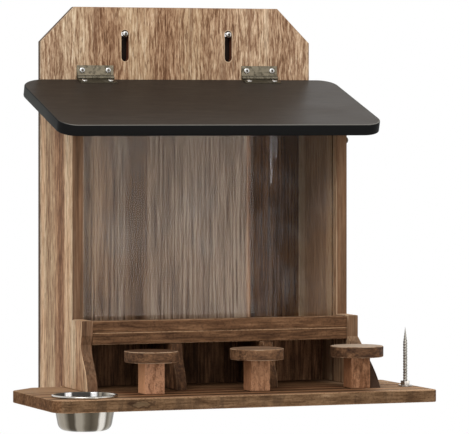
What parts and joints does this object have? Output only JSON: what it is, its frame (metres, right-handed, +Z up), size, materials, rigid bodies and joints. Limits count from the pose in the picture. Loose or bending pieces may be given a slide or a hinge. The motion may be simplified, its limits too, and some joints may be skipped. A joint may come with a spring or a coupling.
{
  "type": "squirrel feeder box",
  "caption": "Wall-hung wooden feeder: hopper with hinged sloping lid and clear window, bays, a deck with stools, lift-out bowl and corn spike.",
  "frame": {"origin": "on the rear face of the back board, midway between the two hanging slots at half their length", "axes": "+X right as seen from the front, +Y out of the rear face towards the wall, +Z up; the front faces -Y"},
  "size_m": [0.399, 0.2445, 0.4173],
  "materials": {
    "light_wood": "oiled light wood with dark grain",
    "dark_wood": "charred brown wood",
    "black_board": "satin dark brown paint",
    "clear": "clear acrylic sheet",
    "aged_steel": "aged zinc",
    "bright_steel": "polished stainless"
  },
  "bodies": {
    "box": {"back_board": "light_wood", "side_panel_left": "light_wood", "side_panel_right": "light_wood", "bay_back_board": "dark_wood", "deck": "dark_wood", "divider_left": "dark_wood", "divider_right": "dark_wood", "front_rail": "dark_wood", "hopper_floor": "dark_wood", "stool_post_left": "dark_wood", "stool_post_middle": "dark_wood", "stool_post_right": "dark_wood", "stool_seat_left": "dark_wood", "stool_seat_middle": "dark_wood", "stool_seat_right": "dark_wood", "window": "clear", "hinge_left_wall_leaf": "aged_steel", "hinge_left_pin": "aged_steel", "hinge_right_wall_leaf": "aged_steel", "hinge_right_pin": "aged_steel", "back_screw_left_1": "aged_steel", "back_screw_left_2": "aged_steel", "back_screw_left_3": "aged_steel", "back_screw_right_1": "aged_steel", "back_screw_right_2": "aged_steel", "back_screw_right_3": "aged_steel", "divider_screw_left": "aged_steel", "divider_screw_right": "aged_steel", "floor_screw_left": "aged_steel", "floor_screw_right": "aged_steel", "panel_screw_left": "aged_steel", "panel_screw_right": "aged_steel", "stool_screw_left": "aged_steel", "stool_screw_middle": "aged_steel", "stool_screw_right": "aged_steel", "side_screw": "aged_steel", "corn_spike": "bright_steel", "hanging_screw_left": "bright_steel", "hanging_screw_right": "bright_steel", "spike_nut": "bright_steel", "spike_washer": "bright_steel", "hinge_left_wall_screw_a": "bright_steel", "hinge_left_wall_screw_b": "bright_steel", "hinge_right_wall_screw_a": "bright_steel", "hinge_right_wall_screw_b": "bright_steel"},
    "lid": {"lid": "black_board", "hinge_left_lid_leaf": "aged_steel", "hinge_left_lid_screw_a": "bright_steel", "hinge_left_lid_screw_b": "bright_steel", "hinge_right_lid_leaf": "aged_steel", "hinge_right_lid_screw_a": "bright_steel", "hinge_right_lid_screw_b": "bright_steel"},
    "bowl": {"bowl": "bright_steel"}
  },
  "joints": [
    {"name": "lid_hinge", "type": "hinge", "parent": "box", "child": "lid", "pos_m": [0, -0.0124, -0.03293], "axis": [-1, 0, 0], "range_deg": [0, 98]},
    {"name": "bowl_lift", "type": "slide", "parent": "box", "child": "bowl", "axis": [0, 0, 1], "range_m": [0, 0.06]}
  ]
}
